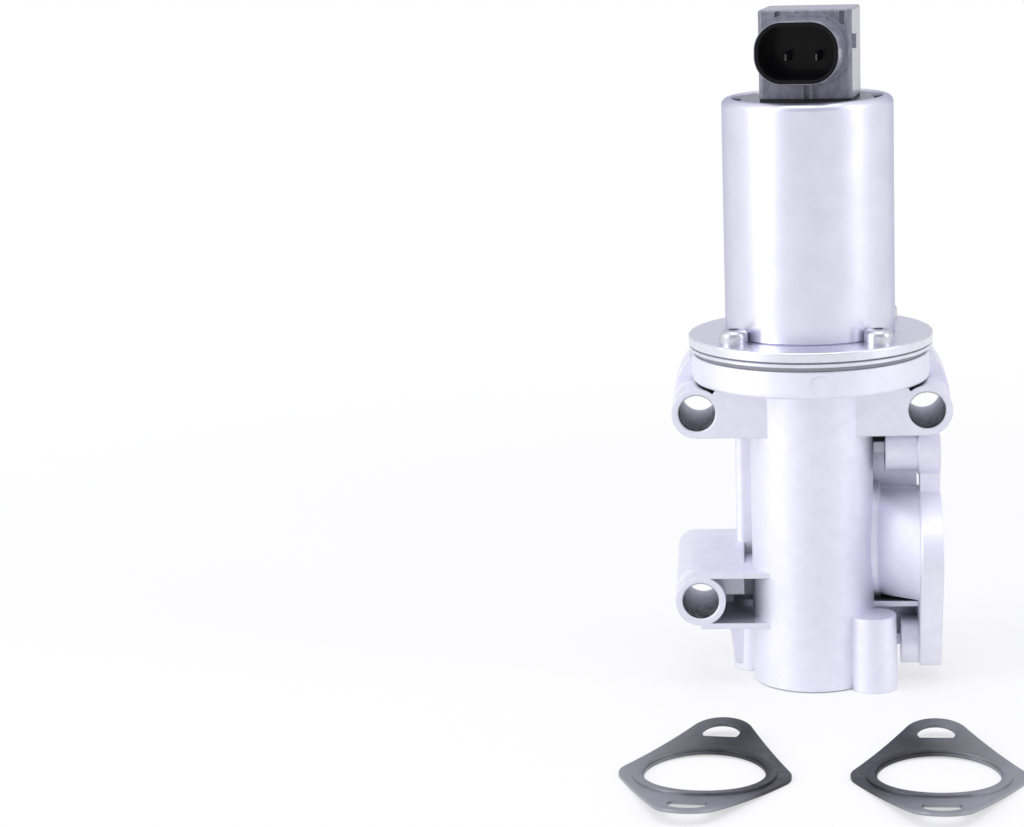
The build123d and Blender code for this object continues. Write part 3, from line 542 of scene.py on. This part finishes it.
def carbon():
    """Pressed carbon of the stem's scraper."""
    look = Finish("carbon")
    dust = look.noise(0.3, detail=4.0, roughness=0.7)
    look.colour(look.blend(dust, grey(0.02), grey(0.05)))
    look.rough(dust, 0.45, 0.65)
    return look.relief(look.bump(dust, 0.02, 0.5))


def soft_iron():
    """Turned iron: fine tool rings across the axis under a thin phosphate haze."""
    look = Finish("soft_iron", Metallic=1.0)
    rings = look.noise(0.25, detail=2.0, roughness=0.6, place=look.stretched(0.02, 0.02, 1.0))
    cloud = look.noise(3.0, detail=4.0)
    look.colour(look.blend(cloud, grey(0.40, COOL), grey(0.30, COOL)))
    look.rough(cloud, 0.35, 0.5)
    return look.relief(look.bump(rings, 0.02, 0.5))


def hard_steel():
    """Ground and polished steel of the stem, disc and seat, a little heat-stained."""
    look = Finish("hard_steel", Metallic=1.0)
    rings = look.noise(0.2, detail=2.0, roughness=0.6, place=look.stretched(0.02, 0.02, 1.0))
    heat = look.noise(5.0)
    look.colour(look.blend(heat, grey(0.66, COOL), (0.58, 0.54, 0.50, 1.0)))
    look.rough(heat, 0.18, 0.3)
    return look.relief(look.bump(rings, 0.01, 0.4))


def spring_steel():
    """Dark spring wire and clips."""
    look = Finish("spring_steel", Metallic=1.0)
    cloud = look.noise(0.8, detail=4.0)
    look.colour(look.blend(cloud, grey(0.46, COOL), grey(0.34, COOL)))
    look.rough(cloud, 0.28, 0.42)
    return look.relief(look.bump(cloud, 0.02, 0.3))


# Each material slot of the record and the finish that it gets
FINISHES = {
    "cast_aluminium": cast_aluminium,
    "can_steel": can_steel,
    "plate_steel": plate_steel,
    "zinc_screw": zinc_screw,
    "dark_gasket": dark_gasket,
    "port_gasket_steel": port_gasket_steel,
    "black_plastic": grey_plastic,
    "terminal_tin": terminal_tin,
    "rubber": rubber,
    "bobbin_plastic": bobbin_plastic,
    "copper": copper,
    "bronze": bronze,
    "carbon": carbon,
    "soft_iron": soft_iron,
    "hard_steel": hard_steel,
    "spring_steel": spring_steel,
}


def dress_nodes():
    """Gives each CAD node the finish of its slot, and the top plate one of its own."""
    made = {slot: make() for slot, make in FINISHES.items()}
    for row in frame["record"]["subparts"]:
        materials = nodes[row["node"]].data.materials
        materials.clear()
        materials.append(made[row["material_slot"]])
    nodes["top_plate"].data.materials[0] = dull_plate()
    return made


# Forms

def add_object(name, data):
    placed = bpy.data.objects.new(name, data)
    bpy.context.scene.collection.objects.link(placed)
    return placed


def soften_edges(node):
    """Rounds a CAD node's sharp edges a little, as pressing leaves them."""
    piece = nodes[node]
    weld = piece.modifiers.new("weld", "WELD")
    weld.merge_threshold = WELD_MM * MM
    bevel = piece.modifiers.new("soft_edges", "BEVEL")
    bevel.width = GASKET_ROUNDING_MM * MM
    bevel.segments = GASKET_ROUNDING_STEPS
    bevel.limit_method = "ANGLE"
    bevel.angle_limit = math.radians(SHARP_ANGLE_DEGREES)
    bevel.harden_normals = True


def coil_mesh(low, high):
    """Round wire wound round Z, from the bottom of a box to its top and out to its sides."""
    wire = SPRING_WIRE_MM * MM / 2
    mean_radius = high.x - wire
    foot = low.z + wire
    climb = high.z - low.z - 2 * wire
    steps = SPRING_TURNS * SPRING_STEPS_PER_TURN
    curve = bpy.data.curves.new("spring_wire", "CURVE")
    curve.dimensions = "3D"
    curve.bevel_depth = wire
    curve.bevel_resolution = 6
    curve.use_fill_caps = True
    line = curve.splines.new("POLY")
    line.points.add(steps)
    for step, point in enumerate(line.points):
        turn = 2 * math.pi * step / SPRING_STEPS_PER_TURN
        point.co = (mean_radius * math.cos(turn), mean_radius * math.sin(turn),
                    foot + climb * step / steps, 1.0)
    wound = add_object("spring_wire", curve)
    scene_now = bpy.context.evaluated_depsgraph_get()
    mesh = bpy.data.meshes.new_from_object(wound.evaluated_get(scene_now))
    bpy.data.objects.remove(wound)
    mesh.polygons.foreach_set("use_smooth", [True] * len(mesh.polygons))
    return mesh


def return_spring(finish):
    """The coil spring in round wire, fixed to the housing in place of the CAD spring."""
    low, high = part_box("return_spring")
    spring = add_object("coil_spring", coil_mesh(low, high))
    spring.data.materials.append(finish)
    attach(spring, "housing")
    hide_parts("return_spring")
    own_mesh(spring)


# Camera and studio

def camera_matrix():
    """The camera's place and axes from its yaw, pitch and roll."""
    forward = Vector((math.sin(CAMERA_YAW) * math.cos(CAMERA_PITCH),
                      math.cos(CAMERA_YAW) * math.cos(CAMERA_PITCH),
                      -math.sin(CAMERA_PITCH)))
    level = Vector((math.cos(CAMERA_YAW), -math.sin(CAMERA_YAW), 0))
    above = level.cross(forward)
    right = math.cos(CAMERA_ROLL) * level + math.sin(CAMERA_ROLL) * above
    up = math.cos(CAMERA_ROLL) * above - math.sin(CAMERA_ROLL) * level
    turn = Matrix((right, up, -forward)).transposed()
    return Matrix.Translation(CAMERA_PLACE) @ turn.to_4x4()


def make_camera():
    data = bpy.data.cameras.new("camera")
    data.sensor_width = SENSOR_WIDTH
    data.lens = FOCAL_PIXELS * SENSOR_WIDTH / IMAGE_WIDTH
    data.clip_start = NEAREST_SEEN
    data.clip_end = FARTHEST_SEEN
    camera = add_object("camera", data)
    camera.matrix_world = camera_matrix()
    bpy.context.scene.camera = camera


def make_world():
    """A pale studio as it is mirrored, and one even light for all matt surfaces."""
    world = bpy.data.worlds.new("studio")
    bpy.context.scene.world = world
    world.use_nodes = True
    studio = Nodes(world.node_tree)
    away = studio.component(studio.coordinates("Generated"), "Y")
    ramp = studio.add("ShaderNodeValToRGB")
    studio.link(studio.spread(away, -1.0, 1.0), ramp.inputs["Fac"])
    near, beside = ramp.color_ramp.elements
    near.position = 0.0
    near.color = MIRRORED_NEAR
    beside.position = MIRRORED_BESIDE_AT
    beside.color = MIRRORED_BESIDE
    ramp.color_ramp.elements.new(1.0).color = MIRRORED_FAR
    shown = studio.add("ShaderNodeBackground")
    shown.inputs["Strength"].default_value = 1.0
    studio.link(ramp.outputs["Color"], shown.inputs["Color"])
    even = studio.add("ShaderNodeBackground")
    even.inputs["Color"].default_value = EVEN_LIGHT_COLOUR
    even.inputs["Strength"].default_value = EVEN_LIGHT_STRENGTH
    mixed = studio.mix_shaders(studio.showing_rays(), even.outputs["Background"],
                               shown.outputs["Background"])
    studio.link(mixed, studio.add("ShaderNodeOutputWorld").inputs["Surface"])


def table_white():
    """Matt white that keeps the soft shadows near the valve and turns plain white farther out."""
    material = bpy.data.materials.new("table_white")
    material.use_nodes = True
    table = Nodes(material.node_tree)
    matt = table.add("ShaderNodeBsdfDiffuse")
    matt.inputs["Color"].default_value = TABLE_COLOUR
    plain = table.add("ShaderNodeEmission")
    plain.inputs["Color"].default_value = TABLE_WHITE
    plain.inputs["Strength"].default_value = 1.0
    away = table.chain(table.coordinates("Object"), ("LENGTH", None))
    share = table.spread(away, TABLE_NEAR, TABLE_ALL_WHITE_BEYOND,
                         TABLE_WHITE_SHARE_NEAR, 1.0, curve="SMOOTHSTEP")
    mixed = table.mix_shaders(table.times(table.showing_rays(), share),
                              matt.outputs["BSDF"], plain.outputs["Emission"])
    table.link(mixed, table.add("ShaderNodeOutputMaterial").inputs["Surface"])
    return material


def make_floor():
    half = TABLE_HALF_WIDTH
    corners = [(-half, -half, 0), (half, -half, 0), (half, half, 0), (-half, half, 0)]
    mesh = bpy.data.meshes.new("floor")
    mesh.from_pydata(corners, [], [(0, 1, 2, 3)])
    mesh.materials.append(table_white())
    floor = add_object("floor", mesh)


def softbox(name, azimuth, elevation, distance, width, height, watts, colour):
    """A rectangular lamp aimed at the valve's middle; azimuth 0 is the camera's side."""
    data = bpy.data.lights.new(name, "AREA")
    data.shape = "RECTANGLE"
    data.size = width
    data.size_y = height
    data.energy = watts
    data.color = colour
    lamp = add_object(name, data)
    turn, lift = math.radians(azimuth), math.radians(elevation)
    outward = Vector((math.sin(turn) * math.cos(lift), -math.cos(turn) * math.cos(lift),
                      math.sin(lift)))
    lamp.location = SOFTBOX_AIM + outward * distance
    lamp.rotation_mode = "QUATERNION"
    lamp.rotation_quaternion = (-outward).to_track_quat("-Z", "Y")


def make_lamps():
    softbox("left_softbox", azimuth=-62, elevation=18, distance=1.2,
            width=0.55, height=1.1, watts=5.8, colour=(0.98, 0.98, 1.0))
    softbox("right_softbox", azimuth=68, elevation=20, distance=1.3,
            width=0.45, height=1.1, watts=2.8, colour=(0.95, 0.95, 1.0))
    softbox("top_softbox", azimuth=0, elevation=80, distance=1.2,
            width=0.9, height=0.9, watts=4.0, colour=(0.99, 0.99, 1.0))


bpy.context.scene.view_settings.view_transform = "Standard"
finishes = dress_nodes()
return_spring(finishes["spring_steel"])
for gasket in LOOSE_GASKETS:
    soften_edges(gasket)
make_camera()
make_world()
make_floor()
make_lamps()
